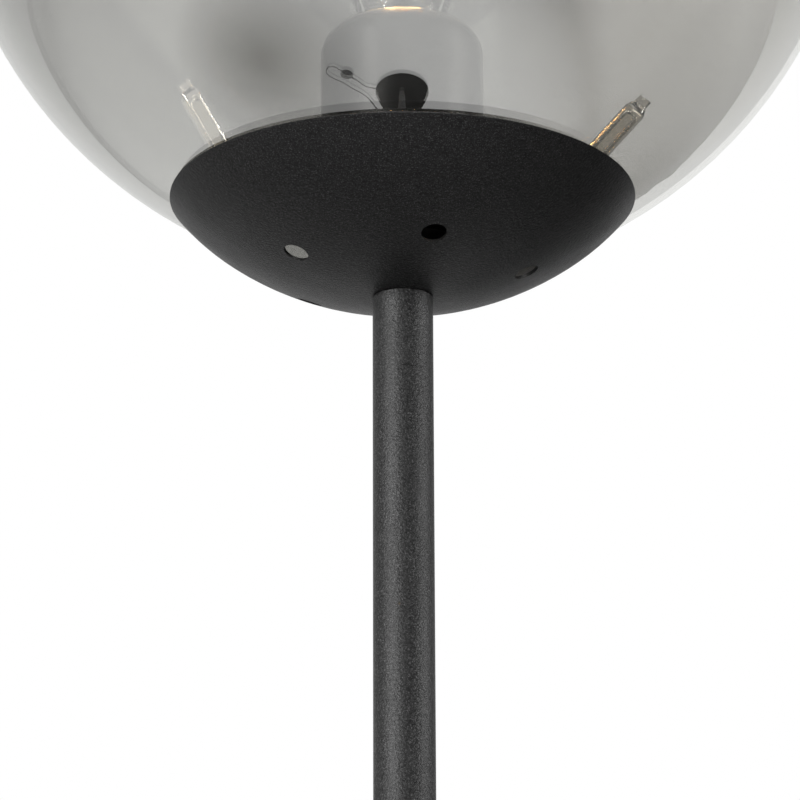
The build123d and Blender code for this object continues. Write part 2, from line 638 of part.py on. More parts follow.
def terminal_screws():
    screws = []
    for side in (-1, 1):
        screw = rod(TERMINAL_SCREW_R, CONTACT_Z - 7, CONTACT_Z) + rod(
            2 * TERMINAL_SCREW_R, CONTACT_Z, CONTACT_Z + 1.6
        )
        screw -= Pos(0, 0, CONTACT_Z + 1.2) * Box(8, 0.8, 0.8, align=STAND)
        screws.append(Pos(0, side * 10.5, 0) * screw)
    return Compound(children=[part.solid() for part in screws])


def centre_contact():
    """Spring strip that rises from the block to the tip of the bulb."""
    reach = TIP_Z - 0.1
    strip = Polyline(
        (-6.5, CONTACT_Z), (6.0, CONTACT_Z), (6.0, CONTACT_Z + 0.6), (-3.5, CONTACT_Z + 0.6),
        (3.5, reach), (-3.0, reach), (-6.5, CONTACT_Z + 0.6), close=True,
    )
    return extrude(Plane.XZ * make_face(strip), 3.0, both=True)


def lampholder_barrel():
    """Insulating barrel round the screw shell, stepped over the terminal block."""
    seat = CONTACT_Z
    outer_top = HOLDER_TOP_Z
    lip_r = SHELL_R + SHELL_SHEET + SLIDE_FIT
    return turned_points(
        (HOLDER_R - HOLDER_WALL + SLIDE_FIT, BARREL_BOTTOM_Z),
        (HOLDER_R, BARREL_BOTTOM_Z),
        (HOLDER_R, outer_top - 1.5),
        (HOLDER_R - 1.5, outer_top),
        (lip_r, outer_top),
        (lip_r, seat + 4),
        (HOLDER_R - HOLDER_WALL + SLIDE_FIT, seat + 1),
    )


def screw_shell():
    bottom = CAP_TOP_Z - 2 - SHELL_LENGTH
    return ring(SHELL_R + SHELL_SHEET, SHELL_R, bottom, bottom + SHELL_LENGTH)


# ---- bulb --------------------------------------------------------------------------------------------
def bulb_tip():
    return turned_points(
        (0, TIP_Z),
        (TIP_R - 1.2, TIP_Z),
        (TIP_R, TIP_Z + 0.8),
        (TIP_R, TIP_Z + TIP_HEIGHT),
        (0, TIP_Z + TIP_HEIGHT),
    )


def bulb_insulator():
    bottom = TIP_Z + TIP_HEIGHT
    return turned_points(
        (0, bottom), (TIP_R + 1.0, bottom), (CAP_CORE_R - 1.5, bottom + INSULATOR_HEIGHT - 1),
        (CAP_CORE_R - 1.5, bottom + INSULATOR_HEIGHT), (0, bottom + INSULATOR_HEIGHT),
    )


def bulb_cap():
    """Screw cap rolled from thin sheet, its thread drawn as rings on the real pitch."""
    bottom = TIP_Z + TIP_HEIGHT + INSULATOR_HEIGHT - 1.0
    thread_start = bottom + 1.5
    outline = [(CAP_CORE_R - 1.4, bottom), (CAP_CORE_R, thread_start)]
    for turn in range(CAP_THREADS):
        crest = thread_start + (turn + 0.5) * CAP_PITCH
        if crest + CAP_PITCH / 2 < CAP_TOP_Z - CAP_SKIRT - 1:
            outline += [(CAP_THREAD_R, crest - 0.6), (CAP_THREAD_R, crest + 0.6)]
            outline += [(CAP_CORE_R, crest + CAP_PITCH / 2)]
    skirt_start = CAP_TOP_Z - CAP_SKIRT
    inner_r = CAP_CORE_R - CAP_SHEET
    outline += [(CAP_CORE_R, skirt_start - 1), (BULB_NECK_R, skirt_start), (BULB_NECK_R, CAP_TOP_Z)]
    outline += [(BULB_NECK_R - CAP_SHEET, CAP_TOP_Z), (BULB_NECK_R - CAP_SHEET, skirt_start + 0.2)]
    outline += [(inner_r, skirt_start - 0.8), (inner_r, thread_start)]
    outline += [(CAP_CORE_R - 1.4, bottom + CAP_SHEET)]
    return turned_points(*outline)


def bulb_profile(inset):
    """Outline of the bulb's glass from its neck to its top, inset by a wall: line, neck curve, ball."""
    ball_r, neck_r = BULB_R - inset, BULB_NECK_R - 0.7 - inset
    flare_r = 45.0 + inset
    # The neck curve is an arc outside the glass, tangent to the neck and to the ball.
    flare_x = neck_r + flare_r
    drop = sqrt((ball_r + flare_r) ** 2 - flare_x**2)
    flare_z = BULB_CENTRE_Z - drop
    share = ball_r / (ball_r + flare_r)
    touch = (flare_x * share, BULB_CENTRE_Z - drop * share)
    half = (degrees(asin(drop / (ball_r + flare_r)))) / 2
    flare_mid = (flare_x - flare_r * cos(radians(half)), flare_z + flare_r * sin(radians(half)))
    return neck_r, flare_z, flare_mid, touch, ball_r


def bulb_glass():
    start = CAP_TOP_Z - CAP_SKIRT + 0.4
    curves = []
    for inset in (0.0, BULB_GLASS_WALL):
        neck_r, flare_z, flare_mid, touch, ball_r = bulb_profile(inset)
        top = (0, BULB_CENTRE_Z + ball_r)
        side = (ball_r, BULB_CENTRE_Z)
        curves += [
            Line((neck_r, start), (neck_r, flare_z)),
            ThreePointArc((neck_r, flare_z), flare_mid, touch),
            ThreePointArc(touch, side, top),
        ]
    outer_neck, inner_neck = BULB_NECK_R - 0.7, BULB_NECK_R - 0.7 - BULB_GLASS_WALL
    curves += [
        Line((outer_neck, start), (inner_neck, start)),
        Line((0, BULB_CENTRE_Z + BULB_R), (0, BULB_CENTRE_Z + BULB_R - BULB_GLASS_WALL)),
    ]
    return turned(*curves)


FILAMENT_BOTTOM = BULB_CENTRE_Z - 18.0
STEM_TOP = FILAMENT_BOTTOM + FILAMENT_LENGTH + 2.0
FILAMENT_CIRCLE_R = 8.0


def bulb_stem():
    """Glass stem: a flare sealed to the neck, drawn in to a rod."""
    neck_in = BULB_NECK_R - 0.7 - BULB_GLASS_WALL - 0.05
    start = CAP_TOP_Z - CAP_SKIRT + 0.4
    return turned_points(
        (0, start), (neck_in, start), (neck_in, start + 1.5), (6.0, start + 7), (3.2, start + 16),
        (2.2, FILAMENT_BOTTOM - 3), (1.6, STEM_TOP), (0, STEM_TOP),
    )


def bulb_filaments():
    filaments = []
    for azimuth in around(FILAMENT_COUNT, 45):
        filaments.append(
            Rot(0, 0, azimuth)
            * Pos(FILAMENT_CIRCLE_R, 0, 0)
            * rod(FILAMENT_R, FILAMENT_BOTTOM, FILAMENT_BOTTOM + FILAMENT_LENGTH)
        )
    return Compound(children=[part.solid() for part in filaments])


def bulb_wires():
    """Star-shaped wire carriers at both ends of the filaments, round the stem."""
    carriers = []
    for height in (FILAMENT_BOTTOM - 0.62, FILAMENT_BOTTOM + FILAMENT_LENGTH + 0.02):
        hub = ring(3.2, 2.4, height, height + 0.6)
        for azimuth in around(FILAMENT_COUNT, 45):
            hub += Rot(0, 0, azimuth) * Pos(2.8, 0, height) * Box(
                FILAMENT_CIRCLE_R - 2.0, 0.8, 0.6, align=(Align.MIN, Align.CENTER, Align.MIN)
            )
        carriers.append(hub)
    return Compound(children=[part.solid() for part in carriers])


# ---- glass ball --------------------------------------------------------------------------------------
def globe():
    outer, inner = GLOBE_R, GLOBE_R - GLOBE_WALL
    angle = GLOBE_EDGE_ANGLE

    def at(radius, from_bottom):
        return (radius * sin(from_bottom), GLOBE_CENTRE_Z - radius * cos(from_bottom))

    edge_tip = (GLOBE_EDGE_R - GLOBE_WALL / 2 * cos(angle), GLOBE_EDGE_Z - GLOBE_WALL / 2 * sin(angle))
    return turned(
        ThreePointArc(at(outer, pi), at(outer, pi / 2), at(outer, angle)),
        ThreePointArc(at(outer, angle), edge_tip, at(inner, angle)),
        ThreePointArc(at(inner, angle), at(inner, pi / 2), at(inner, pi)),
        Line(at(inner, pi), at(outer, pi)),
    )


# ---- foot switch, built on +X along its lead ----------------------------------------------------------
def switch_base():
    wall = SWITCH_WALL
    shell = turned_points(
        (0, 0),
        (SWITCH_R - 2.5, 0),
        (SWITCH_R, 2.5),
        (SWITCH_R, SWITCH_SPLIT_Z),
        (SWITCH_R - wall, SWITCH_SPLIT_Z),
        (SWITCH_R - wall, 3.5), (SWITCH_R - wall - 1.5, wall), (0, wall),
    )
    entry = Pos(0, 0, SWITCH_CORD_Z) * Rot(0, 90, 0) * Cylinder(RELIEF_ROOT_R - 1 + SLIDE_FIT, 4 * SWITCH_R)
    for azimuth in around(3, 90):
        post = Pos(SWITCH_SCREW_CIRCLE_R, 0, 0) * rod(4.0, wall, SWITCH_SPLIT_Z)
        shell += Rot(0, 0, azimuth) * post
    for azimuth in around(3, 90):
        hole = rod(SWITCH_SCREW_R + SLIDE_FIT, 0, SWITCH_SPLIT_Z) + rod(SWITCH_SCREW_HEAD_R + 0.2, 0, 3.2)
        shell -= Rot(0, 0, azimuth) * Pos(SWITCH_SCREW_CIRCLE_R, 0, 0) * hole
    return SWITCH_FRAME * (shell - entry)


def switch_cover():
    wall, edge = SWITCH_WALL, SWITCH_EDGE_FILLET
    edge_x, edge_z = SWITCH_R - edge, SWITCH_HEIGHT - edge
    mouth = BUTTON_R + BUTTON_GAP
    shell = turned(
        Line((SWITCH_R, SWITCH_SPLIT_Z), (SWITCH_R, edge_z)),
        CenterArc((edge_x, edge_z), edge, 0, 90),
        Line((edge_x, SWITCH_HEIGHT), (mouth, SWITCH_HEIGHT)),
        Line((mouth, SWITCH_HEIGHT), (mouth, COVER_UNDERSIDE_Z)),
        Line((mouth, COVER_UNDERSIDE_Z), (edge_x, COVER_UNDERSIDE_Z)),
        CenterArc((edge_x, edge_z), edge - wall, 90, -90),
        Line((SWITCH_R - wall, edge_z), (SWITCH_R - wall, SWITCH_SPLIT_Z)),
        Line((SWITCH_R - wall, SWITCH_SPLIT_Z), (SWITCH_R, SWITCH_SPLIT_Z)),
    )
    entry = Pos(0, 0, SWITCH_CORD_Z) * Rot(0, 90, 0) * Cylinder(RELIEF_ROOT_R - 1 + SLIDE_FIT, 4 * SWITCH_R)
    for azimuth in around(3, 90):
        post = Pos(SWITCH_SCREW_CIRCLE_R, 0, 0) * rod(4.0, SWITCH_SPLIT_Z, COVER_UNDERSIDE_Z)
        shell += Rot(0, 0, azimuth) * post
    for azimuth in around(3, 90):
        hole = Pos(SWITCH_SCREW_CIRCLE_R, 0, 0) * rod(
            SWITCH_SCREW_R + SLIDE_FIT, SWITCH_SPLIT_Z, SWITCH_SPLIT_Z + 9
        )
        shell -= Rot(0, 0, azimuth) * hole
    return SWITCH_FRAME * (shell - entry)


def switch_screws():
    screws = []
    for azimuth in around(3, 90):
        screw = rod(SWITCH_SCREW_HEAD_R, 1.2, 3.2) + rod(SWITCH_SCREW_R, 3.2, SWITCH_SPLIT_Z + 8)
        screws.append(SWITCH_FRAME * Rot(0, 0, azimuth) * Pos(SWITCH_SCREW_CIRCLE_R, 0, 0) * screw)
    return Compound(children=[part.solid() for part in screws])


def switch_block():
    """Contact block on the floor of the housing, with the peg that guides the spring."""
    block_height = SWITCH_BLOCK_TOP - SWITCH_WALL
    block = Pos(0, 0, SWITCH_WALL) * Box(BLOCK_LENGTH, BLOCK_WIDTH, block_height, align=STAND)
    block += rod(SPRING_R - SPRING_WIRE_R - 0.6, SWITCH_BLOCK_TOP, SWITCH_BLOCK_TOP + 2.5)
    return SWITCH_FRAME * block


def switch_button():
    """Push button with a domed top, held in by a flange under the cover."""
    flange_top = COVER_UNDERSIDE_Z - 0.1
    flange_bottom = flange_top - BUTTON_FLANGE
    top = BUTTON_TOP_Z
    inner_r = BUTTON_R - BUTTON_WALL
    roof = flange_top + 0.5
    shoulder = top - BUTTON_DOME
    dome = turned(
        Line((0, roof), (inner_r, roof)),
        Line((inner_r, roof), (inner_r, flange_bottom)),
        Line((inner_r, flange_bottom), (BUTTON_FLANGE_R, flange_bottom)),
        Line((BUTTON_FLANGE_R, flange_bottom), (BUTTON_FLANGE_R, flange_top)),
        Line((BUTTON_FLANGE_R, flange_top), (BUTTON_R, flange_top)),
        Line((BUTTON_R, flange_top), (BUTTON_R, shoulder)),
        dome_arc(BUTTON_R, BUTTON_DOME, top),
        Line((0, top), (0, roof)),
    )
    rim = dome.edges().filter_by(Plane.XY).sort_by(Axis.Z)[-1]
    dome = fillet(rim, 0.8)
    return SWITCH_FRAME * dome


def climbing_half_turn(start, end, side):
    """Two quarter arcs from start to end, which both lie on the line through the axis. The path is level
    at both ends, bulges to the given side along X and climbs in between."""
    middle = (start + end) * 0.5
    half = (end - start) * 0.5
    reach = half.length
    crest = Vector(middle.X + side * reach, middle.Y, middle.Z)
    turn = cos(radians(45))

    def quarter(near, far_point, out_of):
        # out_of is the leg from the arc's centre to the near end
        centre = near - out_of
        return centre + (out_of + (far_point - centre)) * turn

    first = ThreePointArc(start, quarter(start, crest, start - middle), crest)
    second = ThreePointArc(crest, quarter(end, crest, end - middle), end)
    return [first, second]


def switch_spring():
    """Compression spring between the block and the button, each half turn of two tilted quarter arcs."""
    bottom = SWITCH_BLOCK_TOP + SPRING_WIRE_R + 0.05
    top = COVER_UNDERSIDE_Z - 0.1 + 0.5 - SPRING_WIRE_R - 0.1
    rise = (top - bottom) / (2 * SPRING_TURNS)
    edges = []
    for index in range(2 * SPRING_TURNS):
        side = -1 if index % 2 == 0 else 1
        start = Vector(0, side * SPRING_R, bottom + index * rise)
        end = Vector(0, -side * SPRING_R, bottom + (index + 1) * rise)
        edges += climbing_half_turn(start, end, -side)
    path = Wire([edge.edge() for edge in edges])
    wire = sweep(Plane(origin=path @ 0, z_dir=path % 0) * Circle(SPRING_WIRE_R), path=path)
    return SWITCH_FRAME * wire


def switch_relief(direction):
    """Tapered rubber sleeve: a flange inside the wall, a neck through it and a taper outside."""
    neck_r = RELIEF_ROOT_R - 1
    inner_face = sqrt((SWITCH_R - SWITCH_WALL) ** 2 - RELIEF_ROOT_R**2) - 0.05
    root = SWITCH_R + 0.05
    sleeve = turned_points(
        (0, inner_face - 1.8),
        (RELIEF_ROOT_R, inner_face - 1.8),
        (RELIEF_ROOT_R, inner_face),
        (neck_r, inner_face),
        (neck_r, root),
        (RELIEF_ROOT_R, root),
        (RELIEF_ROOT_R, root + 3),
        (RELIEF_TIP_R, SWITCH_R + RELIEF_LENGTH),
        (0, SWITCH_R + RELIEF_LENGTH),
    )
    relief = Rot(0, 90, 0) * sleeve
    return SWITCH_FRAME * Rot(0, 0, 0 if direction > 0 else 180) * Pos(0, 0, SWITCH_CORD_Z) * relief


# ---- plug, built on +X from the end of its strain relief -----------------------------------------------
def plug_body():
    """Flat two-pin plug: a waisted hexagonal body with a tapered tail for the lead."""
    half_w, half_h = PLUG_WIDTH / 2, PLUG_HEIGHT / 2
    outline = Polyline(
        (0, -half_w * 0.55), (PLUG_LENGTH * 0.45, -half_w), (PLUG_LENGTH, -half_w * 0.86),
        (PLUG_LENGTH, half_w * 0.86), (PLUG_LENGTH * 0.45, half_w), (0, half_w * 0.55), close=True,
    )
    face = make_face(outline)
    face = fillet(face.vertices(), 3.0)
    body = extrude(Pos(0, 0, -half_h) * face, PLUG_HEIGHT)
    long_edges = body.edges().filter_by(Plane.XY)
    body = chamfer(long_edges, 1.8)
    tail = Rot(0, 90, 0) * Pos(0, 0, -PLUG_RELIEF) * Cone(CORD_R + 0.7, 5.6, PLUG_RELIEF + 1.0, align=STAND)
    body += tail
    for side in (-1, 1):
        hole = Pos(PLUG_LENGTH - PIN_ROOT, side * PIN_SPACING / 2, 0) * Rot(0, 90, 0)
        body -= hole * Cylinder(PIN_R + SLIDE_FIT, PIN_ROOT + 1, align=STAND)
    return PLUG_FRAME * body


def plug_pins():
    pins = []
    for side in (-1, 1):
        pin = Cylinder(PIN_R, PIN_ROOT + PIN_LENGTH, align=STAND)
        pin = fillet(pin.edges().filter_by(GeomType.CIRCLE).sort_by(Axis.Z)[-1], 1.2)
        place = Pos(PLUG_LENGTH - PIN_ROOT, side * PIN_SPACING / 2, 0) * Rot(0, 90, 0)
        pins.append(PLUG_FRAME * place * pin)
    return Compound(children=[part.solid() for part in pins])


# ---- mains lead ------------------------------------------------------------------------------------------
def tube_along(path):
    return sweep(Plane(origin=path @ 0, z_dir=path % 0) * Circle(CORD_R), path=path)


def rounded_route(points, name):
    """Route of straight runs joined by arcs as large as the runs beside each corner allow."""
    corners = [Vector(*point) for point in points]
    radii = []
    for before, here, after in zip(corners, corners[1:], corners[2:]):
        turn = radians((here - before).get_angle(after - here))
        run = min((here - before).length, (after - here).length)
        radii.append(0.45 * run / tan(turn / 2))
    print(name, "radii", [round(radius) for radius in radii])
    return FilletPolyline(*corners, radius=radii)


def checked(name, tube, path):
    expected = pi * CORD_R**2 * path.length
    print(name, "length", round(path.length, 1), "volume share", round(tube.volume / expected, 4))
    return tube


def on_switch_axis(distance, height):
    heading = radians(SWITCH_HEADING)
    return (SWITCH_X + distance * cos(heading), SWITCH_Y + distance * sin(heading), height)


def gland_end():
    exit_angle = radians(CORD_EXIT_AZIMUTH)
    return (GLAND_TIP * cos(exit_angle), GLAND_TIP * sin(exit_angle), CORD_EXIT_Z)


def cord_in_pole():
    """The lead's held stretch: from the gland under the base, up the pole to the lampholder."""
    end = (0, 0, BLOCK_BOTTOM_Z + 5.9)
    path = FilletPolyline(gland_end(), (0, 0, CORD_EXIT_Z), end, radius=CORD_BEND_R)
    return checked("cord_in_pole", tube_along(path), path)


def cord_to_switch():
    exit_angle = radians(CORD_EXIT_AZIMUTH)
    leaving = (GLAND_TIP + 16) * cos(exit_angle), (GLAND_TIP + 16) * sin(exit_angle), CORD_EXIT_Z
    points = [
        gland_end(),
        leaving,
        (-180, -25.5, CORD_FLOOR_Z + 0.3),
        (-196, -39.5, CORD_FLOOR_Z + 0.1),
        on_switch_axis(-SWITCH_TIP - 16, SWITCH_CORD_Z),
        on_switch_axis(-SWITCH_TIP, SWITCH_CORD_Z),
    ]
    path = rounded_route(points, "cord_to_switch")
    return checked("cord_to_switch", tube_along(path), path)


def coil_start():
    return (COIL_X - 2 * CORD_R, COIL_Y - COIL_OUTER_R, CORD_FLOOR_Z)


def cord_from_switch():
    floor = CORD_FLOOR_Z
    points = [
        on_switch_axis(SWITCH_TIP, SWITCH_CORD_Z),
        on_switch_axis(SWITCH_TIP + 16, SWITCH_CORD_Z),
        (-350, -128, 4.6),
        (-369, -119, floor),
        (-380, -100, floor),
        (-378, -77, floor),
        (-362, -59, floor),
        (-331, -45, floor),
        (-284, -31, floor),
        (-243, -1, floor),
        (-200, 20, floor),
        (-162, 52, floor),
        (-130, 86, floor),
        (-97, 114, floor),
        (-59, COIL_Y - COIL_OUTER_R, floor),
        coil_start(),
    ]
    path = rounded_route(points, "cord_from_switch")
    return checked("cord_from_switch", tube_along(path), path)


def coil_centres():
    """Ends of the coil's half turns on the Y axis of the coil, layer by layer."""
    radii = [COIL_OUTER_R - index * TURN_SPACING / 2 for index in range(HALF_TURNS_IN + 1)]
    radii += [radii[-1] + (index + 1) * TURN_SPACING / 2 for index in range(HALF_TURNS_OUT)]
    ends = [Vector(COIL_X, COIL_Y - COIL_OUTER_R, CORD_FLOOR_Z)]
    for index, radius in enumerate(radii):
        direction = 1 if index % 2 == 0 else -1
        height = CORD_FLOOR_Z + (TURN_SPACING if index >= HALF_TURNS_IN else 0)
        ends.append(Vector(COIL_X, ends[-1].Y + direction * 2 * radius, height))
    return ends


def coil_end():
    last = coil_centres()[-1]
    return (last.X + 2 * CORD_R, last.Y, last.Z)


def cord_coil():
    """Two layers of turns: in on the floor, up a layer in one half turn, and out again on top."""
    ends = coil_centres()
    edges = [Line(coil_start(), ends[0])]
    for index, (start, end) in enumerate(zip(ends, ends[1:])):
        side = 1 if index % 2 == 0 else -1
        if index == HALF_TURNS_IN:
            edges += climbing_half_turn(start, end, side)
        else:
            middle = (start + end) * 0.5
            edges.append(ThreePointArc(start, middle + Vector(side * (end - start).length / 2, 0, 0), end))
    edges.append(Line(ends[-1], coil_end()))
    path = Wire([edge.edge() for edge in edges])
    print("cord_coil least gap to itself", round(least_gap(path), 2))
    return checked("cord_coil", tube_along(path), path)


def least_gap(path, step=3.0):
    """Least clear distance between stretches of the path that are not neighbours along it."""
    count = int(path.length / step)
    points = [path @ (index / count) for index in range(count + 1)]
    skip = int(4 * 2 * CORD_R / step)
    least = 1e9
    for index, point in enumerate(points):
        for other in points[index + skip :]:
            least = min(least, (point - other).length)
    return least - 2 * CORD_R


def cord_to_plug():
    start = coil_end()
    points = [
        start,
        (start[0] + 18, start[1], start[2]),
        (start[0] + 35, start[1] + 8.4, 8.6),
        (PLUG_X - PLUG_RELIEF - 16.5, PLUG_Y, PLUG_Z),
        (PLUG_X - PLUG_RELIEF, PLUG_Y, PLUG_Z),
    ]
    path = rounded_route(points, "cord_to_plug")
    return checked("cord_to_plug", tube_along(path), path)


# ---- all pieces --------------------------------------------------------------------------------------------
parts = {
    "base_cover": base_cover(),
    "base_weight": base_weight(),
    "base_pad": base_pad(),
    "base_nipple": nipple(BASE_NIPPLE_END, POLE_BOTTOM + INSERT_LENGTH - 2),
    "base_nut": hexagon_nut(WELL_TOP - WASHER_THICKNESS - NUT_HEIGHT),
    "base_washer": washer(WELL_TOP - WASHER_THICKNESS),
    "cord_gland": cord_gland(),
    "cord_clamp": cord_clamp(),
    "cord_clamp_screws": cord_clamp_screws(),
    "pole_inserts": pole_inserts(),
    "dish": dish(),
    "head_nipple": nipple(POLE_TOP - INSERT_LENGTH + 2, TOP_NIPPLE_END),
    "head_nuts": head_nuts(),
    "head_washers": head_washers(),
    "clip_plate": clip_plate(),
    "clip_rivets": clip_rivets(),
    "lampholder_cover": lampholder_cover(),
    "lampholder_cap": lampholder_cap(),
    "lampholder_barrel": lampholder_barrel(),
    "terminal_block": terminal_block(),
    "terminal_screws": terminal_screws(),
    "centre_contact": centre_contact(),
    "screw_shell": screw_shell(),
    "bulb_tip": bulb_tip(),
    "bulb_insulator": bulb_insulator(),
    "bulb_cap": bulb_cap(),
    "bulb_glass": bulb_glass(),
    "bulb_stem": bulb_stem(),
    "bulb_filaments": bulb_filaments(),
    "bulb_wires": bulb_wires(),
    "globe": globe(),
    "switch_base": switch_base(),
    "switch_cover": switch_cover(),
    "switch_screws": switch_screws(),
    "switch_block": switch_block(),
    "switch_button": switch_button(),
    "switch_spring": switch_spring(),
    "switch_relief_in": switch_relief(-1),
    "switch_relief_out": switch_relief(1),
    "plug_body": plug_body(),
    "plug_pins": plug_pins(),
    "cord_in_pole": cord_in_pole(),
    "cord_to_switch": cord_to_switch(),
    "cord_from_switch": cord_from_switch(),
    "cord_coil": cord_coil(),
    "cord_to_plug": cord_to_plug(),
}
for section in range(SECTION_COUNT):
    parts[f"pole_section_{section + 1}"] = pole_section(section)
for joint in range(SECTION_COUNT - 1):
    parts[f"pole_coupler_{joint + 1}"] = pole_coupler(joint)
for number, clip_azimuth in enumerate(around(CLIP_COUNT, CLIP_AZIMUTH), start=1):
    parts[f"clip_foot_{number}"] = clip_foot(clip_azimuth)
    parts[f"clip_spring_{number}"] = clip_spring(clip_azimuth)
    parts[f"clip_sleeve_{number}"] = clip_sleeve(clip_azimuth)

os.makedirs("parts", exist_ok=True)
for node, shape in parts.items():
    export_step(shape, f"parts/{node}.step")
print(len(parts), "parts; height", round(GLOBE_CENTRE_Z + GLOBE_R, 1))
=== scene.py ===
import json
import math

import bpy
from mathutils import Matrix, Vector


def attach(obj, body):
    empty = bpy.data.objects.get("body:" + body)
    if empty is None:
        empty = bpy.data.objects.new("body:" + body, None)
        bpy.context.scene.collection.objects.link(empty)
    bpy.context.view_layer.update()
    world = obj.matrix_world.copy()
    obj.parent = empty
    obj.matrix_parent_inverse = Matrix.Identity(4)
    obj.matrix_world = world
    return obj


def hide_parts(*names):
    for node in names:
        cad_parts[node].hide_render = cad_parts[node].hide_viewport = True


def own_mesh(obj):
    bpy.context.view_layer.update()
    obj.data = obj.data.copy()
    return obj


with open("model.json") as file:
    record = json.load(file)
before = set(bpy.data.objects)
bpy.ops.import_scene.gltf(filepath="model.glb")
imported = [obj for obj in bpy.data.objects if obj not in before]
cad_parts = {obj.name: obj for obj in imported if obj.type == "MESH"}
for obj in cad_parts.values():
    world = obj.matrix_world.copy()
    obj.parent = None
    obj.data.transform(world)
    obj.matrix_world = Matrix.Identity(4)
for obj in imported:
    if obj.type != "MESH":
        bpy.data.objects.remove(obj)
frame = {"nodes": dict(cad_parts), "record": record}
NODES = frame["nodes"]
SCENE = bpy.context.scene
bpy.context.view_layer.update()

MM = 0.001
WHITE = (1.0, 1.0, 1.0, 1.0)


# ---- camera ------------------------------------------------------------------------------------
CAMERA_PLACE = (-0.001, -1.117, 0.8413)
CAMERA_TILT_UP = 18.09
CAMERA_ROLL = -0.2
CAMERA_LENS = 169.8

camera_data = bpy.data.cameras.new("camera")
camera_data.lens = CAMERA_LENS
camera_data.sensor_width = 36.0
camera_data.sensor_fit = "HORIZONTAL"
camera_data.clip_start = 0.05
camera = bpy.data.objects.new("camera", camera_data)
camera.location = CAMERA_PLACE
tilt = Matrix.Rotation(math.radians(90 + CAMERA_TILT_UP), 4, "X")
roll = Matrix.Rotation(math.radians(CAMERA_ROLL), 4, "Z")
camera.rotation_euler = (tilt @ roll).to_euler()
SCENE.collection.objects.link(camera)
SCENE.camera = camera


# ---- node graphs -------------------------------------------------------------------------------
class Graph:
    """A material's node tree, written in few words."""

    def __init__(self, name):
        self.material = bpy.data.materials.new(name)
        self.material.use_nodes = True
        self.tree = self.material.node_tree
        self.tree.nodes.clear()
        self.output = self.tree.nodes.new("ShaderNodeOutputMaterial")
        self.place = None

    def add(self, kind, inputs=None, **settings):
        node = self.tree.nodes.new("ShaderNode" + kind)
        for key, value in settings.items():
            setattr(node, key, value)
        for key, value in (inputs or {}).items():
            self.put(node.inputs[key], value)
        return node

    def put(self, socket, value):
        if isinstance(value, bpy.types.NodeSocket):
            self.tree.links.new(value, socket)
        elif isinstance(value, bpy.types.Node):
            self.tree.links.new(value.outputs[0], socket)
        else:
            socket.default_value = value

    def position(self, stretch=(1.0, 1.0, 1.0)):
        """Object coordinates, which are metres in the lamp's own frame."""
        if self.place is None:
            self.place = self.add("TexCoord").outputs["Object"]
        if stretch == (1.0, 1.0, 1.0):
            return self.place
        return self.add("Mapping", {"Vector": self.place, "Scale": stretch}).outputs[0]

    def noise(self, size, detail=2.0, stretch=(1.0, 1.0, 1.0), rough=0.5):
        """Noise whose features are about size metres across."""
        inputs = {
            "Vector": self.position(stretch),
            "Scale": 1.0 / size,
            "Detail": detail,
            "Roughness": rough,
        }
        return self.add("TexNoise", inputs).outputs["Fac"]

    def ramp(self, value, low, high, at=(0.3, 0.7)):
        node = self.add("ValToRGB", {"Fac": value})
        node.color_ramp.elements[0].position, node.color_ramp.elements[1].position = at
        node.color_ramp.elements[0].color = (*low, 1.0)
        node.color_ramp.elements[1].color = (*high, 1.0)
        return node.outputs["Color"]

    def levels(self, value, *stops):
        """A grey level from a value of 0 to 1, through (value, level) stops."""
        node = self.add("ValToRGB", {"Fac": value})
        elements = node.color_ramp.elements
        while len(elements) < len(stops):
            elements.new(0.5)
        for element, (position, level) in zip(elements, stops):
            element.position = position
            element.color = (level, level, level, 1.0)
        return node.outputs["Color"]

    def span(self, value, low, high, source=(0.3, 0.7)):
        inputs = {
            "Value": value,
            "From Min": source[0],
            "From Max": source[1],
            "To Min": low,
            "To Max": high,
        }
        return self.add("MapRange", inputs).outputs["Result"]

    def choose(self, share, low, high):
        """low where share is 0 and high where it is 1."""
        inputs = {"Value": share, "To Min": low, "To Max": high}
        return self.add("MapRange", inputs).outputs["Result"]

    def distance(self, place, centre):
        return self.add("VectorMath", {0: place, 1: centre}, operation="DISTANCE").outputs["Value"]

    def bump(self, height, distance, strength=1.0, below=None):
        inputs = {"Height": height, "Distance": distance, "Strength": strength}
        if below is not None:
            inputs["Normal"] = below
        return self.add("Bump", inputs).outputs["Normal"]

    def shade(self, shader):
        self.put(self.output.inputs["Surface"], shader)
        return self.material

    def principled(self, **inputs):
        names = {key.replace("_", " "): value for key, value in inputs.items()}
        return self.shade(self.add("BsdfPrincipled", names))


def grey(level):
    return (level, level, level)


def powder_coat():
    """Fine black powder coat: a sandy surface with paler grains."""
    g = Graph("powder_coat")
    grain = g.noise(0.0008, detail=3.0, rough=0.65)
    patch = g.noise(0.02, detail=3.0)
    fleck = g.noise(0.00038, detail=1.0)
    colour = g.ramp(grain, grey(0.002), grey(0.011), at=(0.35, 0.72))
    bright = g.ramp(fleck, grey(0.0), grey(0.026), at=(0.56, 0.72))
    total = g.add("MixRGB", {"Fac": 1.0, "Color1": colour, "Color2": bright}, blend_type="ADD")
    normal = g.bump(grain, 0.00035, 0.75, g.bump(patch, 0.0003, 0.05))
    return g.principled(
        Base_Color=total.outputs[0],
        Roughness=g.span(patch, 0.40, 0.48),
        Specular_IOR_Level=0.11,
        Normal=normal,
    )


